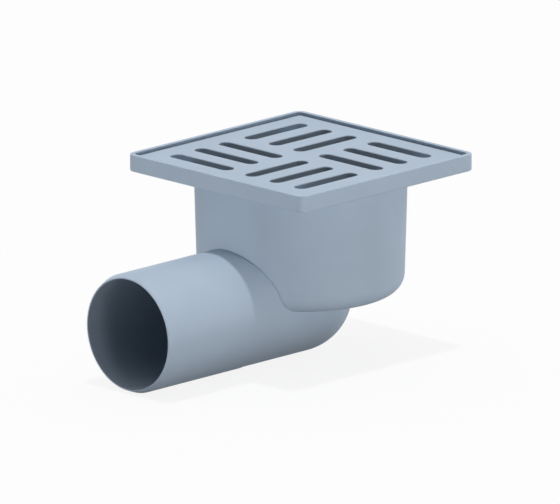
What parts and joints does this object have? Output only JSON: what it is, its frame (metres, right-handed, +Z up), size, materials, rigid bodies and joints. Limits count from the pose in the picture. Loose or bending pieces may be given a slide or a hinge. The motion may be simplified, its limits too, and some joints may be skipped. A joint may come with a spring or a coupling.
{
  "type": "floor drain",
  "caption": "Horizontal-outlet floor drain: square slotted grating in a frame, round bowl, side outlet pipe and a lift-out bell trap.",
  "frame": {"origin": "centre of the frame's top rim, level with the finished floor", "axes": "+Z up, out of the floor; -Y along the outlet pipe, away from the bowl; +X square to it"},
  "size_m": [0.102, 0.152, 0.0832],
  "materials": {
    "blue_grey_plastic": "matte",
    "dark_grey_plastic": "matte",
    "black_rubber": "matte"
  },
  "bodies": {
    "root": {"body": "blue_grey_plastic", "grating": "blue_grey_plastic", "siphon_cup": "dark_grey_plastic", "bell": "dark_grey_plastic", "seal_ring": "black_rubber"}
  },
  "joints": []
}
